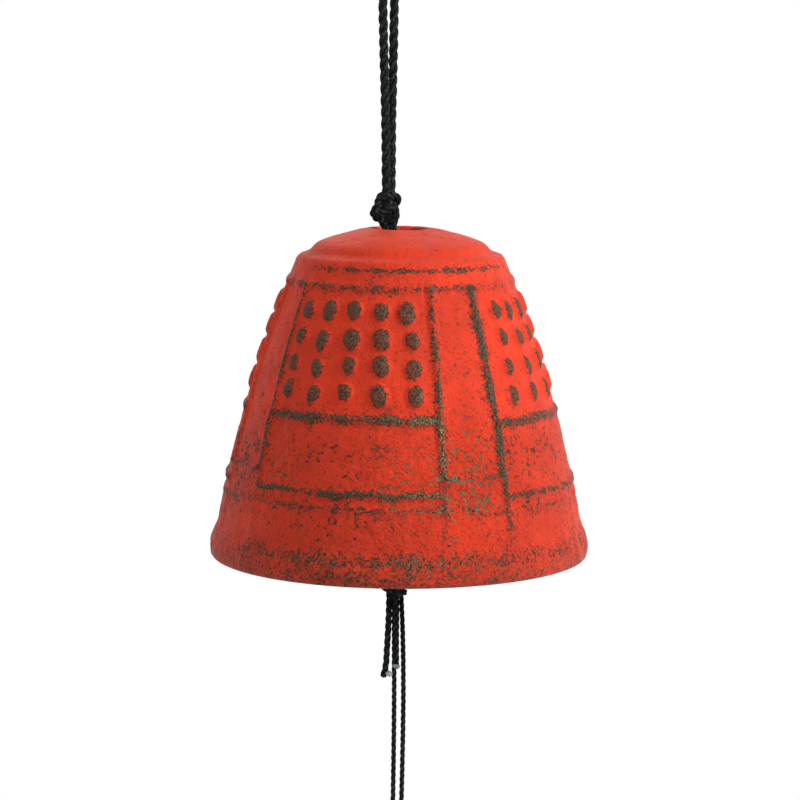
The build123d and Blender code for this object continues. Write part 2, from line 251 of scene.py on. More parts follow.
class PaperSettings(bpy.types.PropertyGroup):
    """The paper strip."""

    width: FloatProperty(name="Width", description="Width of the strip", default=0.040, unit="LENGTH")
    length: FloatProperty(name="Length", description="Length of the strip", default=0.110, unit="LENGTH")
    thickness: FloatProperty(name="Thickness", description="Thickness of the paper", default=0.0004, unit="LENGTH")
    curl: FloatProperty(name="Curl", description="How far the paper bows", default=0.0022, unit="LENGTH")
    hole: FloatProperty(name="Hole", description="Diameter of the hole", default=0.004, unit="LENGTH")
    margin: FloatProperty(name="Margin", description="Paper above the hole", default=0.005, unit="LENGTH")
    colour: FloatVectorProperty(
        name="Paper", description="Colour of the paper", subtype="COLOR", default=(0.80, 0.76, 0.66), min=0, max=1
    )


class StageSettings(bpy.types.PropertyGroup):
    """Camera, lights and floor."""

    camera_away: FloatProperty(
        name="Camera distance", description="From the bell's axis", default=0.580, unit="LENGTH"
    )
    camera_side: FloatProperty(
        name="Camera side", description="Right of the bell's axis", default=0.0001, unit="LENGTH"
    )
    camera_rise: FloatProperty(
        name="Camera height", description="Above the mouth", default=0.10893, unit="LENGTH"
    )
    camera_pitch: FloatProperty(
        name="Camera pitch", description="Downward tilt", default=math.radians(7.695), subtype="ANGLE"
    )
    lens: FloatProperty(name="Lens", description="Focal length on a 36 mm sensor", default=132.9)
    key: FloatProperty(name="Key light", description="Power of the light from front right", default=4.3, unit="POWER")
    fill: FloatProperty(name="Fill light", description="Power of the light from the left", default=0.75, unit="POWER")
    top: FloatProperty(name="Top light", description="Power of the light from above", default=0.7, unit="POWER")
    sky: FloatProperty(name="Sky", description="Strength of the light from all round", default=0.30)
    floor_drop: FloatProperty(name="Floor", description="Below the strip's end", default=0.016, unit="LENGTH")


SETTINGS = {
    "furin_bell": BellSettings,
    "furin_cord": CordSettings,
    "furin_paper": PaperSettings,
    "furin_stage": StageSettings,
}


# Node helpers


def add_node(tree, kind, inputs=None, **options):
    """A new node with its options set and its inputs linked or set."""
    made = tree.nodes.new(kind)
    for name, value in options.items():
        setattr(made, name, value)
    for name, value in (inputs or {}).items():
        if isinstance(value, bpy.types.NodeSocket):
            tree.links.new(value, made.inputs[name])
        else:
            made.inputs[name].default_value = value
    return made


def calculate(tree, operation, first, second):
    """Output of a Math node."""
    return add_node(tree, "ShaderNodeMath", {0: first, 1: second}, operation=operation).outputs[0]


def plus(tree, first, second):
    """Sum of two values."""
    return calculate(tree, "ADD", first, second)


def minus(tree, first, second):
    """Difference of two values."""
    return calculate(tree, "SUBTRACT", first, second)


def times(tree, first, second):
    """Product of two values."""
    return calculate(tree, "MULTIPLY", first, second)


def larger(tree, first, second):
    """The larger of two values."""
    return calculate(tree, "MAXIMUM", first, second)


def grade(tree, value, low, high, to_low=0.0, to_high=1.0):
    """Output of a smooth Map Range node."""
    inputs = {"Value": value, "From Min": low, "From Max": high, "To Min": to_low, "To Max": to_high}
    return add_node(tree, "ShaderNodeMapRange", inputs, interpolation_type="SMOOTHSTEP").outputs["Result"]


def grain(tree, place, scale, detail=2.0, roughness=0.5, distortion=0.0):
    """Noise of so many cells to the metre."""
    inputs = {"Vector": place, "Scale": scale, "Detail": detail, "Roughness": roughness, "Distortion": distortion}
    return add_node(tree, "ShaderNodeTexNoise", inputs).outputs["Fac"]


def mix_colour(tree, share, first, second):
    """One colour over another."""
    made = add_node(tree, "ShaderNodeMix", data_type="RGBA")
    for socket, value in ((0, share), (6, first), (7, second)):
        if isinstance(value, bpy.types.NodeSocket):
            tree.links.new(value, made.inputs[socket])
        elif socket:
            made.inputs[socket].default_value = (*value, 1)
        else:
            made.inputs[socket].default_value = value
    return made.outputs[2]


def object_place(tree):
    """Object coordinates."""
    return add_node(tree, "ShaderNodeTexCoord").outputs["Object"]


def attribute(tree, name):
    """A point attribute of the piece."""
    return add_node(tree, "ShaderNodeAttribute", attribute_name=name).outputs["Fac"]


def bump(tree, height, strength, distance):
    """Normal from a height."""
    inputs = {"Height": height, "Strength": strength, "Distance": distance}
    return add_node(tree, "ShaderNodeBump", inputs).outputs["Normal"]


def new_finish(name):
    """A material with an empty tree and its shader."""
    finish = bpy.data.materials.new(name)
    finish.use_nodes = True
    tree = finish.node_tree
    tree.nodes.clear()
    shader = add_node(tree, "ShaderNodeBsdfPrincipled")
    output = add_node(tree, "ShaderNodeOutputMaterial")
    tree.links.new(shader.outputs["BSDF"], output.inputs["Surface"])
    return finish, tree, shader


def set_inputs(tree, shader, **inputs):
    """Links or sets a shader's inputs, named with _ for a space."""
    for name, value in inputs.items():
        socket = shader.inputs[name.replace("_", " ")]
        if isinstance(value, bpy.types.NodeSocket):
            tree.links.new(value, socket)
        else:
            socket.default_value = value


# Piece helpers


def finish_piece(name, bm, finish, replaced=()):
    """A smooth-shaded object from a bmesh, which stands for CAD nodes."""
    mesh = bpy.data.meshes.new(name)
    bm.to_mesh(mesh)
    bm.free()
    mesh.polygons.foreach_set("use_smooth", [True] * len(mesh.polygons))
    mesh.materials.append(finish)
    piece = bpy.data.objects.new(name, mesh)
    bpy.context.scene.collection.objects.link(piece)
    if replaced:
        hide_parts(*replaced)
    return piece


def smooth_step(low, high, value):
    """0 below low, 1 above high, and smooth between."""
    share = min(max((value - low) / (high - low), 0.0), 1.0)
    return share * share * (3 - 2 * share)


def swell(distance, half_width):
    """1 on a ridge's line, 0 at its foot."""
    if abs(distance) >= half_width:
        return 0.0
    return math.cos(math.pi * distance / (2 * half_width)) ** 2


def fray(distance, half_width):
    """Wear that is firm on a ridge's line and thins out beside it."""
    return 0.66 * swell(distance, 1.1 * half_width) + 0.34 * swell(distance, 2.8 * half_width)


def wave(*place):
    """Smooth noise from -1 to 1."""
    return noise.noise(Vector(place))


# The bell


def wall_radius(height):
    """Radius of the plain wall at this height, in millimetres."""
    share = (height - FOOT[1]) / (SHOULDER[1] - FOOT[1])
    bow = WALL_BOW * 4 * share * (1 - share) / WALL_OUTWARD.x if 0 < share < 1 else 0.0
    return FOOT[0] + (SHOULDER[0] - FOOT[0]) * share + bow


def draw_section(bm):
    """The half section of the casting, as one closed run of edges."""
    corners = [bm.verts.new((radius, 0, height)) for radius, height, _, _ in SECTION]
    for number, (_, _, spacing, bow) in enumerate(SECTION):
        start = corners[number]
        end = corners[(number + 1) % len(corners)]
        first = start.co.copy()
        run = end.co - first
        outward = WALL_OUTWARD * (-1 if run.z * run.x > 0 else 1)
        edge = bm.edges.new((start, end))
        cuts = int(run.length / spacing)
        for left in range(cuts, 0, -1):
            start = bmesh.utils.edge_split(edge, start, 1 / (left + 1))[1]
            edge = bm.edges.get((start, end))
            share = 1 - left / (cuts + 1)
            start.co = first + run * share + outward * (bow * 4 * share * (1 - share))


def is_outside(radius, height):
    """Whether a point of the casting is on its outer face."""
    if height > 60.6:
        return radius > 5.4
    if height > SHOULDER[1]:
        return radius > 20.4 - 0.85 * (height - SHOULDER[1])
    return radius > min(wall_radius(height) - 1.7, 34.9)


class Spot:
    """A point of the outer face, in millimetres and in degrees from the front towards +X."""

    def __init__(self, place):
        self.height = place.z
        self.radius = math.hypot(place.x, place.y)
        self.turn = math.degrees(math.atan2(place.x, -place.y)) % 360
        self.front = (self.turn + 180) % 360 - 180
        self.along = (self.turn - BAND_TURN + 45) % 90 - 45
        self.side = math.copysign(1, self.along)
        self.quarter = math.floor((self.turn - BAND_TURN + 45) / 90) % 4
        self.panel = self.quarter if self.along > 0 else (self.quarter - 1) % 4
        self.in_band = abs(self.along) < BAND_HALF
        self.low = smooth_step(38, 24, self.height)
        self.broad = wave(*(place * 0.12))
        self.uneven = self.broad + 0.7 * wave(*(place * 0.45)) + 0.5 * wave(*(place * 1.2))

    def up(self, low, high):
        """0 below a height, 1 above another, or the other way round."""
        return smooth_step(low, high, self.height)

    def round(self, low, high):
        """0 before a turn from the front, 1 after another, or the other way round."""
        return smooth_step(low, high, self.front)


class Relief:
    """Rise in millimetres and wear of the cast relief at spots of the outer face."""

    def __init__(self, settings):
        self.settings = settings
        chance = random.Random(7)
        self.nubs = {}
        for panel in range(4):
            for column in range(NUB_COLUMNS):
                for row in range(len(NUB_ROWS)):
                    place = (chance.uniform(-0.25, 0.25), chance.uniform(-0.2, 0.2))
                    if column < len(NUB_PLACES.get(panel, ())):
                        place = NUB_PLACES[panel][column][row]
                    size = chance.uniform(0.9, 1.1)
                    tall = chance.uniform(1.0, 1.22)
                    lean = chance.uniform(-0.35, 0.35)
                    painted = panel in (RIGHT_PANEL, BACK_PANEL) and column > 2
                    wear = chance.uniform(0.60, 0.72) * (0.3 if painted else 1.0)
                    self.nubs[panel, column, row] = (*place, size, tall, lean, wear)

    def ledge(self, spot):
        """Edge of the ledge, worn in patches."""
        shown = spot.round(-75, -35) * spot.round(88, 50)
        patchy = 0.40 + 0.26 * wave(spot.front * 0.13, 3.0, 0.0)
        return 0.0, fray(spot.height - LEDGE_EDGE, 0.8) * patchy * shown

    def shoulder(self, spot):
        """Ridge round the shoulder."""
        line = spot.height - SHOULDER[1] + 0.2 * wave(spot.turn * 0.2, 0.0, 5.0)
        shown = 1 - 0.4 * spot.round(28, 48) * spot.round(150, 120)
        patchy = 0.40 + 0.24 * wave(spot.turn * 0.16, 1.0, 8.0)
        return self.settings.shoulder_ridge / MM * swell(line, 1.2), fray(line + 0.1, 1.1) * patchy * shown

    def uprights(self, spot):
        """Ridges beside the bands, which trail off below the bands' feet."""
        if spot.height >= SHOULDER[1]:
            return 0.0, 0.0
        away = math.radians(abs(spot.along) - BAND_HALF) * spot.radius
        away += 0.3 * wave(spot.height * 0.16, spot.quarter * 5.0, spot.side * 3)
        strong = 1.0
        if spot.height < BAND_END:
            strong = 0.44 * spot.up(3, 8) + 0.26 * spot.up(10, 19)
            strong *= 1.0 if spot.quarter == FRONT_BAND else 0.75
        share, half_width = UPRIGHT_WEAR.get((spot.quarter, spot.side), (1.0, 1.0))
        if (spot.quarter, spot.side) == (FRONT_BAND, -1):
            share -= 0.22 * spot.up(38, 47)
            half_width += 0.4 * spot.up(32, 18)
        patchy = 0.66 + 0.28 * wave(spot.height * 0.24, spot.quarter * 3.0, spot.side * 6)
        rise = self.settings.upright_ridge / MM * swell(away, 1.2) * strong
        return rise, fray(away, half_width) * patchy * share * strong

    def levels(self, spot):
        """Level ridges under a panel, and the faint one below its hem, which crosses the bands."""
        firm = spot.round(-52, -20) if spot.panel == FRONT_PANEL else 0.35
        rise = wear = 0.0
        for heights, drop, share, half_width in LEVEL_RIDGES:
            if spot.in_band and not drop:
                continue
            level = heights[spot.panel] - drop
            line = spot.height - level
            line += 0.3 * wave(spot.turn * 0.09, level, 2.0) + 0.12 * wave(spot.turn * 0.4, level, 4.0)
            rise += self.settings.level_ridge / MM * swell(line, 1.25) * share
            patchy = (0.57 + 0.06 * firm + 0.24 * wave(spot.turn * 0.13, level, 9.0)) * (0.3 + 0.7 * share)
            if spot.panel == RIGHT_PANEL:
                patchy *= 0.78 + 0.35 * wave(spot.turn * 0.45, level, 1.0) - 0.2 * spot.round(70, 85)
            wear = max(wear, fray(line - 0.1, half_width) * patchy)
        return rise, wear

    def band_foot(self, spot):
        """Closed foot of a band."""
        if not spot.in_band:
            return 0.0, 0.0
        line = spot.height - BAND_END + 0.4 * wave(spot.turn * 0.2, 1.0, 12.0)
        share = swell(line, 1.1) * (0.35 + 0.65 * smooth_step(3.0, 8.0, abs(spot.along)))
        high = 1.4 if spot.quarter == LEFT_BAND else 0.8
        return high * self.settings.level_ridge / MM * share, 0.55 * share

    def nub(self, spot):
        """Rise, wear and way across at the nub nearest to a spot of a panel, and the share of nub there."""
        panel = spot.panel
        turn = spot.turn - NUB_FIRST[panel]
        turn += 0 if turn >= -20 else 360
        column = round(turn / NUB_PITCH[panel])
        if not 0 <= column < NUB_COLUMNS:
            return 0.0, 0.0, 0.0, 0.0
        nubs = [self.nubs[panel, column, row] for row in range(len(NUB_ROWS))]
        row = min(range(len(NUB_ROWS)), key=lambda number: abs(spot.height - NUB_ROWS[number] + nubs[number][1]))
        shift, drop, size, tall, lean, wear = nubs[row]
        across = math.radians(turn - column * NUB_PITCH[panel]) * spot.radius - shift
        down = (NUB_ROWS[row] - drop - spot.height) / WALL_OUTWARD.x
        across += lean * 0.3 * down
        wide, high = across / size, down / (size * tall)
        slim = 0.8 if panel == RIGHT_PANEL else 1.0
        ragged = wave(across * 0.9, down * 0.9, 3.7 * column + 11.3 * row + panel)
        reach = math.hypot(wide / NUB_HALF[0], high / NUB_HALF[1]) + 0.13 * ragged
        rubbed = math.hypot(wide / (CAP_HALF[0] * slim), high / CAP_HALF[1]) + 0.14 * ragged
        raised = 0.75 * (1 - smooth_step(0.5, 1.0, reach)) + 0.25 * max(0.0, 1 - reach * reach)
        column_swell = swell(across, 2.7) * spot.up(33.0, 36.0) * spot.up(53.5, 51.0)
        rise = self.settings.nub / MM * raised + 0.1 * column_swell
        return rise, wear * (1 - smooth_step(0.62, 1.04, rubbed)), across, raised

    def at(self, spot):
        """Rise at a spot, and its values for the finish."""
        rise = self.settings.lumps / MM * (0.35 + 0.65 * spot.low) * spot.uneven
        wear = 0.06 * spot.low * (1 + spot.broad)
        for form in (self.ledge, self.shoulder, self.uprights, self.levels, self.band_foot):
            more, worn = form(spot)
            rise += more
            wear = max(wear, worn)
        grit = 0.12 + 0.53 * spot.up(33, 24) + 0.2 * spot.low * spot.broad
        if spot.in_band:
            wear += 0.09 * swell(spot.along, 9) * spot.up(52, 44) * spot.up(6, 14)
            grit += 0.26 * swell(spot.along, 7) * spot.up(7, 16) * spot.up(40, 22)
        # Painted highlight: share of bright grains towards the front right and on the right flanks of the nubs, where
        # the light catches the iron
        glint = 0.8 * swell(spot.front - 14, 30) * (0.3 + 0.7 * spot.up(52, 26)) * spot.up(-3, 7)
        cap = 0.0
        if not spot.in_band and NUB_FIELD[0] < spot.height < NUB_FIELD[1]:
            more, worn, across, raised = self.nub(spot)
            rise += more
            wear = max(wear, worn)
            cap = smooth_step(0.1, 0.4, raised) * (0.9 - 0.5 * smooth_step(-0.9, 0.9, across))
            glint *= smooth_step(0.3, 1.2, across)
        forward = swell(spot.front + 12, 60)
        rim = (0.25 + 0.12 * forward) * swell(spot.height - RIM_LINE, 3.4) + 0.08 * spot.broad
        foot = (0.22 + 0.08 * forward - 0.08 * spot.round(20, 60)) * spot.up(4.4, 2.4)
        return rise, {"wear": max(wear, rim, foot), "grit": grit, "glint": glint, "cap": cap}


def red_iron(settings):
    """Red paint over cast iron, worn through on the relief and pitted in the lower half."""
    finish, tree, shader = new_finish("red_iron")
    place = object_place(tree)
    wear, grit, bare, glint, cap_share = (attribute(tree, name) for name in BELL_LAYERS)
    grains = grain(tree, place, 3000, 2, 0.6)
    fine = grain(tree, place, 2500, 3, 0.62)
    fleck = grain(tree, place, 1800, 1.5)
    speck = grain(tree, place, 1250, 1.5, 0.5, 0.2)
    lump = grain(tree, place, 820)
    patch = grain(tree, place, 420, 2, 0.55)
    broad = grain(tree, place, 110)
    level = add_node(tree, "ShaderNodeSeparateXYZ", {"Vector": place}).outputs["Z"]
    # Hem: less dust and fewer pits there are painted light, which brightens the shade its form gets
    hem = grade(tree, level, BELL_AXIS.z + 13 * MM, BELL_AXIS.z + 8.5 * MM)

    # Where the paint is gone, thin or pitted; the thin margin is partly painted shade and the fewer pits on the hem
    # are painted light
    uneven = plus(tree, times(tree, fleck, 1.3), times(tree, patch, 0.5))
    rubbed = plus(tree, wear, minus(tree, uneven, 0.90))
    iron = larger(tree, grade(tree, rubbed, 0.36, 0.47), bare)
    # Thin paint beside the wear, partly painted shade on the slopes round the worn ridges and nubs
    thin = grade(tree, rubbed, 0.08, 0.43, 0.0, 0.85)
    pit_level = minus(tree, 0.785, times(tree, grit, 0.275))
    pit_level = minus(tree, pit_level, grade(tree, patch, 0.35, 0.7, -0.04, 0.05))
    pit_level = plus(tree, pit_level, times(tree, hem, 0.075))
    pits = grade(tree, minus(tree, speck, pit_level), 0.0, 0.045)

    # Paint with dust in its grain, less of it on the hem as painted light, thin paint and painted shade beside the
    # wear, and a brown film on the rim's foot
    deep = tuple(value * share for value, share in zip(settings.paint, (0.82, 0.84, 0.95)))
    paint = mix_colour(tree, grade(tree, broad, 0.3, 0.7), deep, settings.paint)
    dust_and_hem_light = times(tree, grade(tree, fine, 0.46, 0.70), plus(tree, grit, 0.16))
    dust_and_hem_light = times(tree, dust_and_hem_light, minus(tree, 0.42, times(tree, hem, 0.225)))
    paint = mix_colour(tree, dust_and_hem_light, paint, settings.paint_shade)
    paint = mix_colour(tree, thin, paint, settings.paint_shade)
    film = grade(tree, level, BELL_AXIS.z + 4.2 * MM, BELL_AXIS.z + 1.8 * MM, 0.0, 0.2)
    film = times(tree, film, grade(tree, patch, 0.32, 0.58, 0.45, 1.0))
    paint = mix_colour(tree, film, paint, settings.rust)

    # Iron with pale grains, browner on the nubs, and painted highlights of bright grains where the light catches it
    metal = mix_colour(tree, grade(tree, grains, 0.40, 0.62), settings.metal, settings.rust)
    cap_shade = tuple(value * 0.35 for value in settings.cap)
    cap = mix_colour(tree, grade(tree, grains, 0.38, 0.56), cap_shade, settings.cap)
    metal = mix_colour(tree, cap_share, metal, cap)
    painted_glint_share = times(tree, grade(tree, grains, 0.47, 0.58), plus(tree, glint, 0.10))
    metal = mix_colour(tree, painted_glint_share, metal, settings.glint)
    metal = mix_colour(tree, bare, metal, settings.metal)
    colour = mix_colour(tree, iron, paint, metal)
    pit_colour = mix_colour(tree, grade(tree, broad, 0.4, 0.65), settings.metal, settings.rust)
    # Painted highlight on the pits towards the front right as well
    pit_colour = mix_colour(tree, times(tree, glint, 0.75), pit_colour, settings.glint)
    colour = mix_colour(tree, times(tree, pits, 0.9), colour, pit_colour)

    iron = larger(tree, iron, pits)
    height = times(tree, minus(tree, 1.0, iron), 0.6)
    height = plus(tree, height, times(tree, fine, plus(tree, grit, 0.42)))
    height = plus(tree, height, times(tree, lump, plus(tree, times(tree, grit, 1.3), 0.35)))
    paint_gloss = grade(tree, patch, 0.3, 0.7, 0.44, 0.58)
    gloss = add_node(tree, "ShaderNodeMapRange", {"Value": iron, "To Min": paint_gloss, "To Max": 0.55})
    set_inputs(
        tree, shader, Base_Color=colour, Roughness=gloss.outputs["Result"],
        Normal=bump(tree, height, 0.9, 0.56 * MM), Specular_IOR_Level=0.12, Sheen_Weight=0.21, Sheen_Roughness=0.28,
        Sheen_Tint=(1.0, 0.62, 0.52, 1.0),
    )
    return finish


class FURIN_OT_bell(bpy.types.Operator):
    """Spin the cast bell, raise its relief and paint it"""

    bl_idname = "furin.bell"
    bl_label = "Bell"

    def execute(self, context):
        settings = context.scene.furin_bell
        relief = Relief(settings)
        bm = bmesh.new()
        draw_section(bm)
        outer = [vert for vert in bm.verts if is_outside(vert.co.x, vert.co.z)]
        for _ in range(2):
            bmesh.ops.smooth_vert(
                bm, verts=outer, factor=0.5, use_axis_x=True, use_axis_y=False, use_axis_z=True
            )
        bmesh.ops.spin(
            bm, geom=bm.verts[:] + bm.edges[:], cent=(0, 0, 0), axis=(0, 0, 1), angle=2 * math.pi,
            steps=settings.segments, use_merge=True,
        )
        bmesh.ops.remove_doubles(bm, verts=bm.verts, dist=0.01)
        bmesh.ops.recalc_face_normals(bm, faces=bm.faces)
        layers = {name: bm.verts.layers.float.new(name) for name in BELL_LAYERS}
        for vert in bm.verts:
            radius = math.hypot(vert.co.x, vert.co.y)
            height = vert.co.z
            if not is_outside(radius, height):
                limits, value = (MOUTH_PAINT, radius) if height < 1 else (CROWN_PAINT, height)
                bare = smooth_step(*limits, value)
                vert[layers["bare"]] = bare
                vert[layers["wear"]] = 0.7 * bare
                continue
            rise, values = relief.at(Spot(vert.co.copy()))
            for name, value in values.items():
                vert[layers[name]] = value
            outward = Vector((vert.co.x, vert.co.y, 0)) / radius
            lift = smooth_step(57, 63, height)
            direction = (outward * (1 - lift) + Vector((0, 0, 0.29 + 0.71 * lift))).normalized()
            vert.co += direction * rise * (0.0 if height < 0.2 else 1.0)
        bmesh.ops.rotate(bm, cent=(0, 0, 20), matrix=Matrix.Rotation(settings.tilt, 3, "Y"), verts=bm.verts)
        bmesh.ops.scale(bm, vec=(MM, MM, MM), verts=bm.verts)
        bmesh.ops.translate(bm, vec=BELL_AXIS, verts=bm.verts)
        piece = finish_piece("cast_bell", bm, red_iron(settings), ["bell"])
        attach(piece, "bell")
        return {"FINISHED"}


# Cords

# Plies of a cord: how many, and radius, distance from the middle and range of the worn crests in diameters, below
# which the pale fibre fades out as painted shade in the grooves between plies
PLIES = 3
PLY_RADIUS = 0.27
PLY_OFFSET = 0.25
PLY_CREST = (0.34, 0.52)
ROUTE_STEP = 0.25 * MM


def black_cord(settings):
    """Black twisted cord with paler raised fibres on the ply crests and painted shade in the grooves between the
    plies.
    """
    finish, tree, shader = new_finish("twisted_cord")
    place = object_place(tree)
    strand = grain(tree, place, 3600, 3, 0.7)
    tuft = grain(tree, place, 1500, 1, 0.5)
    # Pale fibre only on the ply crests; the grooves keep the dark fibre as painted shade
    crest = grade(tree, attribute(tree, "crest"), 0.0, 1.0, 0.03, 1.0)
    pale = times(tree, grade(tree, strand, 0.36, 0.64), grade(tree, tuft, 0.38, 0.62, 0.08, 1.0))
    colour = mix_colour(tree, times(tree, pale, crest), settings.fibre, settings.worn_fibre)
    set_inputs(
        tree, shader, Base_Color=colour, Roughness=0.85, Specular_IOR_Level=0.04,
        Normal=bump(tree, strand, 0.9, 0.3 * MM),
    )
    return finish


def sealed_end(settings):
    """Pale melted fibre at a cut end, its paleness a painted highlight of light glinting there."""
    finish, tree, shader = new_finish("sealed_end")
    place = object_place(tree)
    cloud = grain(tree, place, 1500, 2, 0.5)
    colour = mix_colour(tree, grade(tree, cloud, 0.30, 0.56), settings.worn_fibre, settings.cut)
    set_inputs(tree, shader, Base_Color=colour, Roughness=0.45, Normal=bump(tree, cloud, 0.5, 0.2 * MM))
    return finish


def cord_finish(context):
    """The black cord's material, made once."""
    return bpy.data.materials.get("twisted_cord") or black_cord(context.scene.furin_cord)


def curve_mesh(curve):
    """The mesh that a curve gives. The curve is removed."""
    holder = bpy.data.objects.new(curve.name, curve)
    bpy.context.scene.collection.objects.link(holder)
    mesh = bpy.data.meshes.new_from_object(holder)
    bpy.data.objects.remove(holder)
    bpy.data.curves.remove(curve)
    return mesh


def new_curve(name):
    """An empty curve in space."""
    curve = bpy.data.curves.new(name, "CURVE")
    curve.dimensions = "3D"
    return curve


def smooth_route(points):
    """Points along the NURBS spline of a cord's control points, given in millimetres."""
    curve = new_curve("route")
    curve.resolution_u = 96
    spline = curve.splines.new("NURBS")
    spline.points.add(len(points) - 1)
    for point, place in zip(spline.points, points):
        point.co = (*(MM * value for value in place), 1)
    spline.order_u = 3
    spline.use_endpoint_u = True
    line = curve_mesh(curve)
    found = [vert.co.copy() for vert in line.vertices]
    bpy.data.meshes.remove(line)
    route = [found[0]]
    for place in found[1:-1]:
        if (place - route[-1]).length > ROUTE_STEP:
            route.append(place)
    route.append(found[-1])
    return route


def lay_strand(bm, route, diameter, lay, start_turn=0.0):
    """Adds a cord of three plies that twist round a route."""
    curve = new_curve("plies")
    curve.bevel_depth = diameter * PLY_RADIUS
    curve.bevel_resolution = 2
    curve.use_fill_caps = True
    splines = [curve.splines.new("POLY") for _ in range(PLIES)]
    for spline in splines:
        spline.points.add(len(route) - 1)
    run = 0.0
    side = (route[1] - route[0]).normalized().orthogonal().normalized()
    for number, place in enumerate(route):
        before = route[max(number - 1, 0)]
        after = route[min(number + 1, len(route) - 1)]
        along = (after - before).normalized()
        side = (side - along * side.dot(along)).normalized()
        up = along.cross(side)
        run += (place - before).length
        for ply, spline in enumerate(splines):
            turn = start_turn + 2 * math.pi * (ply / PLIES + run / lay)
            spot = place + (side * math.cos(turn) + up * math.sin(turn)) * diameter * PLY_OFFSET
            spline.points[number].co = (*spot, 1)
    mesh = curve_mesh(curve)
    middle = kdtree.KDTree(len(route))
    for number, place in enumerate(route):
        middle.insert(place, number)
    middle.balance()
    # Share of crest, 0 in the grooves between plies, where it paints shade
    crest = mesh.attributes.new("crest", "FLOAT", "POINT")
    for vert, value in zip(mesh.vertices, crest.data):
        value.value = smooth_step(*PLY_CREST, middle.find(vert.co)[2] / diameter)
    bm.from_mesh(mesh)
    bpy.data.meshes.remove(mesh)


def cord_piece(context, name, node, routes, diameter, lay, start_turn=0.0):
    """A piece of twisted cords along routes, which stands for a CAD node."""
    bm = bmesh.new()
    for route in routes:
        lay_strand(bm, route, diameter, lay, start_turn)
    return finish_piece(name, bm, cord_finish(context), [node])


# Hanging loop in millimetres: away from the cord's middle and height
LOOP_POINTS = (
    (-0.80, -42.0),
    (-0.86, -29.4),
    (-1.40, -16.8),
    (-1.77, -6.3),
    (-1.90, -2.7),
    (-1.90, 0.9),
    (1.90, 0.9),
    (1.90, -2.7),
    (1.77, -6.3),
    (1.40, -16.8),
    (0.86, -29.4),
    (0.80, -42.0),
)
LOOP_ACROSS = Vector((0.6157, 0.7880, 0.0))


class FURIN_OT_hanging_cord(bpy.types.Operator):
    """Lay the doubled cord from the top knot over the hook and back"""

    bl_idname = "furin.hanging_cord"
    bl_label = "Hanging cord"

    def execute(self, context):
        settings = context.scene.furin_cord
        route = smooth_route([LOOP_ACROSS * away + Vector((0, 0, height)) for away, height in LOOP_POINTS])
        piece = cord_piece(context, "hanging_cord", "hanging_loop", [route], settings.loop, settings.loop_lay)
        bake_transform(piece)
        return {"FINISHED"}


# Strands of the knot over the crown hole, in millimetres from the middle of its foot
TOP_KNOT = (
    (
        (0.2, 0.0, 5.0), (-0.9, -0.9, 5.6), (0.1, -1.3, 6.3), (1.6, -0.8, 6.4), (2.5, 0.1, 5.7), (2.0, 1.1, 4.8),
        (0.4, 1.5, 4.6), (-0.4, 0.6, 4.4),
    ),
    (
        (0.2, 0.3, 5.6), (0.7, -0.9, 5.3), (1.7, -1.3, 4.2), (2.05, -0.9, 2.8), (1.6, -0.7, 1.4), (1.1, -0.5, 0.1),
        (1.3, -0.5, -0.9),
    ),
    (
        (0.0, 0.4, 6.4), (-0.9, -0.3, 6.4), (-1.4, -1.0, 5.2), (-1.6, -1.3, 3.9), (-1.2, -1.4, 2.4),
        (-0.5, -1.0, 1.1), (0.1, -0.6, 0.0), (0.8, -0.5, -0.9),
    ),
    ((-0.6, 0.3, 4.4), (-1.7, -0.2, 4.1), (-2.5, -0.2, 3.1), (-1.9, 0.0, 2.0), (-0.8, 0.4, 1.7), (0.2, 0.4, 2.2)),
    ((-1.6, 0.6, 3.4), (-2.0, -0.6, 3.0), (-1.0, -1.7, 2.9), (0.3, -1.9, 3.4), (1.2, -1.4, 4.4), (1.0, -0.2, 5.0)),
    ((1.8, 0.2, 3.4), (1.4, 1.4, 3.0), (0.2, 1.8, 2.6), (-1.1, 1.4, 2.8), (-1.6, 0.6, 3.4)),
)


def knot_turn(half_width, rise, lean, start):
    """Control points of a leaning turn of cord whose ends are tucked into the knot, in millimetres."""
    places = []
    steps = 10
    for step in range(steps + 1):
        turn = start + step * 2 * math.pi * 1.1 / steps
        away = half_width * (0.4 if step in (0, steps) else 1.0)
        places.append((away * math.cos(turn), away * math.sin(turn), rise + away * math.cos(turn) * math.sin(lean)))
    return places


def plain_knot(node, diameter, start):
    """Strands of a tight knot in the space of a CAD knot, in millimetres from the middle of its foot."""
    low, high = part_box(node)
    half_width = (high.x - low.x - diameter) / 2 / MM
    height = (high.z - low.z) / MM
    half = diameter / 2 / MM
    return (
        knot_turn(half_width, 0.68 * height, 0.25, start),
        knot_turn(half_width, 0.34 * height, -0.28, start + 2),
        ((-0.3, 0.3, height), (-0.9 * half_width, -0.3, 0.75 * height), (-0.4, -half_width, 0.55 * height),
         (0.8 * half_width, -0.6 * half_width, 0.3 * height), (0.3, 0.2, half)),
        ((0.4, 0.2, height), (0.8 * half_width, 0.4, 0.8 * height), (0.2, half_width, 0.5 * height),
         (-0.7 * half_width, 0.5, 0.2 * height), (-0.3, 0.0, half)),
    )


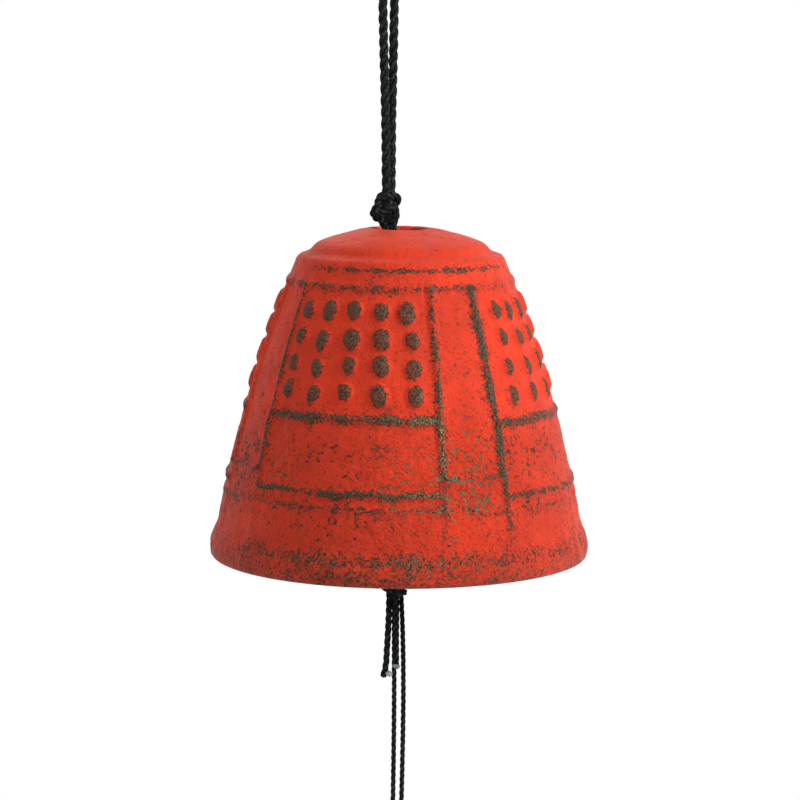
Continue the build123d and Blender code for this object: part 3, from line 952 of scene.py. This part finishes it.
def tie_knot(node, strands, diameter, lay):
    """A bmesh of a knot's strands round a lumpy heart that closes the gaps between them."""
    low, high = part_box(node)
    foot = Vector(((low.x + high.x) / 2, (low.y + high.y) / 2, low.z)) / MM
    bm = bmesh.new()
    for number, strand in enumerate(strands):
        lay_strand(bm, smooth_route([foot + Vector(place) for place in strand]), diameter, lay, number * 1.3)
    heart = bmesh.ops.create_icosphere(bm, subdivisions=4, radius=0.5)["verts"]
    size = high - low
    middle = (low + high) / 2
    bmesh.ops.scale(bm, vec=(size.x * 0.66, size.y * 0.62, size.z * 0.96), verts=heart)
    bmesh.ops.translate(bm, vec=middle, verts=heart)
    for vert in heart:
        vert.co += (vert.co - middle) * 0.14 * wave(*(vert.co * 900))
    return bm


class FURIN_OT_knots(bpy.types.Operator):
    """Tie the four knots from their own strands"""

    bl_idname = "furin.knots"
    bl_label = "Knots"

    def execute(self, context):
        settings = context.scene.furin_cord
        finish = cord_finish(context)
        inner = (settings.cord, settings.cord_lay)
        thread = (settings.thread, settings.thread_lay)
        knots = (
            ("top_knot", TOP_KNOT, settings.loop * 0.94, settings.loop_lay * 0.5, "knot"),
            ("line_knot", plain_knot("line_knot", settings.cord, 0.6), *inner, "line"),
            ("lower_knot", plain_knot("lower_knot", settings.cord, 2.4), *inner, "clapper"),
            ("strip_knot", plain_knot("strip_knot", settings.thread, 1.2), *thread, "sail"),
        )
        for node, strands, diameter, lay, body in knots:
            turns = tie_knot(node, strands, diameter, lay)
            piece = finish_piece(f"{node}_turns", turns, finish, [node])
            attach(piece, body)
        return {"FINISHED"}


# Strands inside the bell: millimetres in the part's frame
NECK_POINTS = ((1.0, 0.6, -47.9), (1.0, 0.75, -50.4), (1.0, 2.4, -53.0), (1.0, 2.4, -55.4), (1.0, 1.5, -56.6))
LINE_POINTS = (((0.3, 0.0, -61.4), (0.3, 0.02, -88.0), (0.3, 0.0, -116.6)),
               ((1.7, 0.0, -61.4), (1.7, -0.02, -90.0), (1.7, 0.0, -116.6)))


class FURIN_OT_inner_cords(bpy.types.Operator):
    """Lay the strands past the bar and down to the clapper"""

    bl_idname = "furin.inner_cords"
    bl_label = "Inner cords"

    def execute(self, context):
        settings = context.scene.furin_cord
        size = (settings.cord, settings.cord_lay)
        necks = [smooth_route([(x, side * y, z) for x, y, z in NECK_POINTS]) for side in (-1, 1)]
        neck = cord_piece(context, "neck_cord", "neck_strands", necks, *size)
        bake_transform(neck)
        for number, points in enumerate(LINE_POINTS):
            route = smooth_route(points)
            line = cord_piece(context, f"clapper_line_{number + 1}", "clapper_line", [route], *size, number * 2.0)
            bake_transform(line)
        return {"FINISHED"}


# Tails and threads below the lower knot, and middle and lean of the sealed tips, whose pale colour is a painted
# highlight, in the part's frame
TAIL_POINTS = {
    "long_tail": (
        (0.1, -0.6, -121.2), (-0.05, -0.7, -127.0), (-0.45, -0.7, -133.5), (-0.6, -0.7, -136.6), (-1.2, -0.7, -138.5),
    ),
    "short_tail": ((1.5, -0.6, -121.2), (1.45, -0.7, -125.0), (1.38, -0.7, -132.0), (1.42, -0.7, -136.7)),
}
THREAD_POINTS = {
    "left_thread": ((1.0, 0.6, -121.4), (1.05, 0.6, -136.0), (1.0, 0.6, -150.0), (0.75, 0.6, -165.9)),
    "right_thread": (
        (2.4, 0.6, -121.4), (2.65, 0.6, -126.0), (2.9, 0.6, -136.0), (2.85, 0.6, -150.0), (2.45, 0.6, -165.9),
    ),
}
TIPS = (((0.0, -1.0, -137.8), 0.5), ((1.55, -0.9, -136.3), 0.35))


class FURIN_OT_tails(bpy.types.Operator):
    """Lay the two cut tails with their sealed ends, coloured pale as painted highlights, and the two threads"""

    bl_idname = "furin.tails"
    bl_label = "Tails and threads"

    def execute(self, context):
        settings = context.scene.furin_cord
        for number, (node, points) in enumerate(TAIL_POINTS.items()):
            route = smooth_route(points)
            tail = cord_piece(
                context, f"{node}_cord", node, [route], settings.cord, settings.cord_lay, number * 0.9
            )
            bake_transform(tail)
        for number, (node, points) in enumerate(THREAD_POINTS.items()):
            route = smooth_route(points)
            thread = cord_piece(
                context, f"{node}_cord", node, [route], settings.thread, settings.thread_lay, number * 1.7
            )
            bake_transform(thread)
        tips = bmesh.new()
        for middle, lean in TIPS:
            tip = bmesh.ops.create_icosphere(tips, subdivisions=3, radius=settings.cord * 0.58)["verts"]
            bmesh.ops.scale(tips, vec=(1.0, 1.0, 0.75), verts=tip)
            bmesh.ops.rotate(tips, cent=(0, 0, 0), matrix=Matrix.Rotation(lean, 3, "Y"), verts=tip)
            for vert in tip:
                vert.co *= 1 + 0.12 * wave(*(vert.co * 2500))
            bmesh.ops.translate(tips, vec=Vector(middle) * MM, verts=tip)
        piece = finish_piece("tail_ends", tips, sealed_end(settings))
        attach(piece, "threads")
        return {"FINISHED"}


# Paper strip

# Loop of thread through the strip's hole, in millimetres in the part's frame
STRIP_LOOP = (
    (1.6, -0.3, -168.6), (1.6, -0.3, -173.2), (1.6, -0.35, -177.7),
    (1.6, 1.55, -177.7), (1.6, 1.5, -173.2), (1.6, 1.5, -168.6),
)


def strip_paper(settings):
    """Pale paper with long fibres."""
    finish, tree, shader = new_finish("strip_paper")
    place = object_place(tree)
    stretched = add_node(tree, "ShaderNodeMapping", {"Vector": place, "Scale": (1.0, 1.0, 0.12)}).outputs["Vector"]
    fibre = grain(tree, stretched, 1800, 3, 0.6, 1.2)
    cloud = grain(tree, place, 160, 3, 0.55)
    dark = tuple(value * 0.86 for value in settings.colour)
    colour = mix_colour(tree, grade(tree, fibre, 0.36, 0.62), dark, settings.colour)
    warm = tuple(value * share for value, share in zip(settings.colour, (0.97, 0.93, 0.86)))
    colour = mix_colour(tree, grade(tree, cloud, 0.4, 0.7, 0.0, 0.6), colour, warm)
    set_inputs(
        tree, shader, Base_Color=colour, Roughness=0.88, Specular_IOR_Level=0.2,
        Normal=bump(tree, fibre, 0.25, 0.1 * MM),
    )
    return finish


class FURIN_OT_paper_strip(bpy.types.Operator):
    """Hang the paper strip on its loop of thread"""

    bl_idname = "furin.paper_strip"
    bl_label = "Paper strip"

    def execute(self, context):
        settings = context.scene.furin_paper
        cords = context.scene.furin_cord
        route = smooth_route(STRIP_LOOP)
        loop = cord_piece(context, "strip_loop_cord", "strip_loop", [route], cords.thread, cords.thread_lay)
        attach(loop, "sail")

        low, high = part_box("paper_strip")
        middle = (low + high) / 2
        hole = Vector((middle.x, middle.y, high.z - settings.margin - settings.hole / 2))
        bm = bmesh.new()
        bmesh.ops.create_grid(bm, x_segments=40, y_segments=110, size=0.5)
        bmesh.ops.scale(bm, vec=(settings.width, settings.length, 1), verts=bm.verts)
        bmesh.ops.rotate(bm, cent=(0, 0, 0), matrix=Matrix.Rotation(math.pi / 2, 3, "X"), verts=bm.verts)
        bmesh.ops.translate(bm, vec=middle, verts=bm.verts)
        inside = [face for face in bm.faces if (face.calc_center_median() - hole).length < settings.hole / 2 * 0.95]
        bmesh.ops.delete(bm, geom=inside, context="FACES")
        for vert in bm.verts:
            away = vert.co - hole
            if vert.is_boundary and away.length < settings.hole:
                vert.co = hole + away.normalized() * settings.hole / 2
        for vert in bm.verts:
            down = (high.z - vert.co.z) / settings.length
            across = (vert.co.x - middle.x) / settings.width
            bow = settings.curl * (math.sin(2.6 * down) * 0.7 - 1.2 * across * across * smooth_step(0.05, 0.5, down))
            twist = settings.curl * 0.8 * across * smooth_step(0.1, 1.0, down)
            vert.co.y += (bow + twist) * smooth_step(0.05, 0.3, down)
        piece = finish_piece("paper_strip_sheet", bm, strip_paper(settings), ["paper_strip"])
        thickness = piece.modifiers.new("thickness", "SOLIDIFY")
        thickness.thickness = settings.thickness
        thickness.offset = 0
        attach(piece, "sail")
        return {"FINISHED"}


# Iron and steel fittings


def cast_fitting(name, dark, light, roughness, metallic, scale, bump_depth):
    """Bare iron or steel with a fine grain."""
    finish, tree, shader = new_finish(name)
    place = object_place(tree)
    grains = grain(tree, place, scale, 3, 0.6)
    cloud = grain(tree, place, scale / 9, 2, 0.5)
    tone = plus(tree, times(tree, grains, 0.5), times(tree, cloud, 0.5))
    colour = mix_colour(tree, grade(tree, tone, 0.38, 0.64), dark, light)
    gloss = grade(tree, grains, 0.3, 0.7, roughness - 0.08, roughness + 0.1)
    set_inputs(
        tree, shader, Base_Color=colour, Roughness=gloss, Metallic=metallic,
        Normal=bump(tree, grains, 0.4, bump_depth),
    )
    return finish


class FURIN_OT_fittings(bpy.types.Operator):
    """Give the clapper and the cross bar their finishes"""

    bl_idname = "furin.fittings"
    bl_label = "Clapper and bar"

    def execute(self, context):
        iron = cast_fitting("dark_iron", (0.020, 0.018, 0.016), (0.075, 0.064, 0.052), 0.55, 0.55, 1500, 0.00012)
        steel = cast_fitting("bar_steel", (0.28, 0.28, 0.28), (0.52, 0.52, 0.51), 0.32, 1.0, 2600, 0.00004)
        for node, finish in (("clapper", iron), ("cross_bar", steel)):
            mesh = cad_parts[node].data
            mesh.materials.clear()
            mesh.materials.append(finish)
        return {"FINISHED"}


# Stage

# Lamps: name, place from the point they aim at, size and the setting that holds their power
AIM_RISE = 0.03
LAMPS = (
    ("key_light", (0.52, -0.28, 0.28), 0.30, "key"),
    ("fill_light", (-0.55, -0.30, 0.10), 0.40, "fill"),
    ("top_light", (0.05, -0.12, 0.55), 0.45, "top"),
)
FLOOR_SIZE = 12
SHADOW_FADE = (0.16, 0.40)


def seen_ray(tree):
    """1 for rays that show the surroundings: to the camera, in a reflection or through glass."""
    rays = add_node(tree, "ShaderNodeLightPath").outputs
    shown = larger(tree, rays["Is Camera Ray"], rays["Is Glossy Ray"])
    return larger(tree, shown, rays["Is Transmission Ray"])


def floor_finish():
    """Pale floor that keeps shadows near the object and is white to the camera further off."""
    finish = bpy.data.materials.new("pale_floor")
    finish.use_nodes = True
    tree = finish.node_tree
    tree.nodes.clear()
    place = object_place(tree)
    level = add_node(tree, "ShaderNodeMapping", {"Vector": place, "Scale": (1, 1, 0)}).outputs["Vector"]
    away = add_node(tree, "ShaderNodeVectorMath", {0: level}, operation="LENGTH").outputs["Value"]
    far = times(tree, seen_ray(tree), grade(tree, away, *SHADOW_FADE))
    matt = add_node(tree, "ShaderNodeBsdfDiffuse", {"Color": (0.86, 0.86, 0.85, 1)})
    white = add_node(tree, "ShaderNodeEmission", {"Color": (1, 1, 1, 1), "Strength": 1.0})
    both = add_node(
        tree, "ShaderNodeMixShader",
        {0: far, 1: matt.outputs["BSDF"], 2: white.outputs["Emission"]},
    )
    add_node(tree, "ShaderNodeOutputMaterial", {"Surface": both.outputs["Shader"]})
    return finish


def light(name, place, aim, size, power):
    """A soft square lamp that points at a place."""
    lamp = bpy.data.lights.new(name, "AREA")
    lamp.shape = "SQUARE"
    lamp.size = size
    lamp.energy = power
    made = bpy.data.objects.new(name, lamp)
    made.location = place
    made.rotation_euler = (Vector(aim) - Vector(place)).to_track_quat("-Z", "Y").to_euler()
    bpy.context.scene.collection.objects.link(made)


class FURIN_OT_stage(bpy.types.Operator):
    """Set the camera, the lights, the floor and the white surroundings"""

    bl_idname = "furin.stage"
    bl_label = "Stage"

    def execute(self, context):
        scene = context.scene
        settings = scene.furin_stage
        scene.view_settings.view_transform = "Standard"

        camera = bpy.data.objects.new("camera", bpy.data.cameras.new("camera"))
        camera.data.sensor_width = 36
        camera.data.lens = settings.lens
        camera.data.clip_start = 0.01
        camera.location = (
            BELL_AXIS.x + settings.camera_side, -settings.camera_away, BELL_AXIS.z + settings.camera_rise
        )
        camera.rotation_euler = (math.pi / 2 - settings.camera_pitch, 0, 0)
        scene.collection.objects.link(camera)
        scene.camera = camera

        aim = BELL_AXIS + Vector((0, 0, AIM_RISE))
        for name, away, size, power in LAMPS:
            light(name, aim + Vector(away), aim, size, getattr(settings, power))

        bm = bmesh.new()
        bmesh.ops.create_grid(bm, x_segments=1, y_segments=1, size=FLOOR_SIZE)
        bmesh.ops.translate(bm, vec=(0, 0, cad_box[0][2] - settings.floor_drop), verts=bm.verts)
        mesh = bpy.data.meshes.new("floor")
        bm.to_mesh(mesh)
        bm.free()
        mesh.materials.append(floor_finish())
        floor = bpy.data.objects.new("floor", mesh)
        scene.collection.objects.link(floor)

        world = bpy.data.worlds.new("surroundings")
        scene.world = world
        world.use_nodes = True
        tree = world.node_tree
        tree.nodes.clear()
        strength = add_node(
            tree, "ShaderNodeMapRange", {"Value": seen_ray(tree), "To Min": settings.sky, "To Max": 1.0}
        ).outputs["Result"]
        sky = add_node(tree, "ShaderNodeBackground", {"Color": (1, 1, 1, 1), "Strength": strength})
        add_node(tree, "ShaderNodeOutputWorld", {"Surface": sky.outputs["Background"]})
        return {"FINISHED"}


class FURIN_PT_panel(bpy.types.Panel):
    """Sizes, colours and steps of the wind bell"""

    bl_idname = "FURIN_PT_panel"
    bl_label = "Furin wind bell"
    bl_space_type = "VIEW_3D"
    bl_region_type = "UI"
    bl_category = "Furin"

    def draw(self, context):
        for name, group in SETTINGS.items():
            box = self.layout.box()
            for field in group.__annotations__:
                box.prop(getattr(context.scene, name), field)
        for operator in OPERATORS:
            self.layout.operator(operator.bl_idname)


OPERATORS = (
    FURIN_OT_bell,
    FURIN_OT_hanging_cord,
    FURIN_OT_knots,
    FURIN_OT_inner_cords,
    FURIN_OT_tails,
    FURIN_OT_paper_strip,
    FURIN_OT_fittings,
    FURIN_OT_stage,
)
CLASSES = (*SETTINGS.values(), *OPERATORS, FURIN_PT_panel)


def register():
    """Register the classes and the scene's settings."""
    for cls in CLASSES:
        bpy.utils.register_class(cls)
    for name, group in SETTINGS.items():
        setattr(bpy.types.Scene, name, PointerProperty(type=group))


def unregister():
    """Remove the scene's settings and the classes."""
    for name in SETTINGS:
        delattr(bpy.types.Scene, name)
    for cls in reversed(CLASSES):
        bpy.utils.unregister_class(cls)


def main():
    """Make every piece and the stage."""
    register()
    bpy.ops.furin.bell()
    bpy.ops.furin.hanging_cord()
    bpy.ops.furin.knots()
    bpy.ops.furin.inner_cords()
    bpy.ops.furin.tails()
    bpy.ops.furin.paper_strip()
    bpy.ops.furin.fittings()
    bpy.ops.furin.stage()


if __name__ == "__main__":
    main()
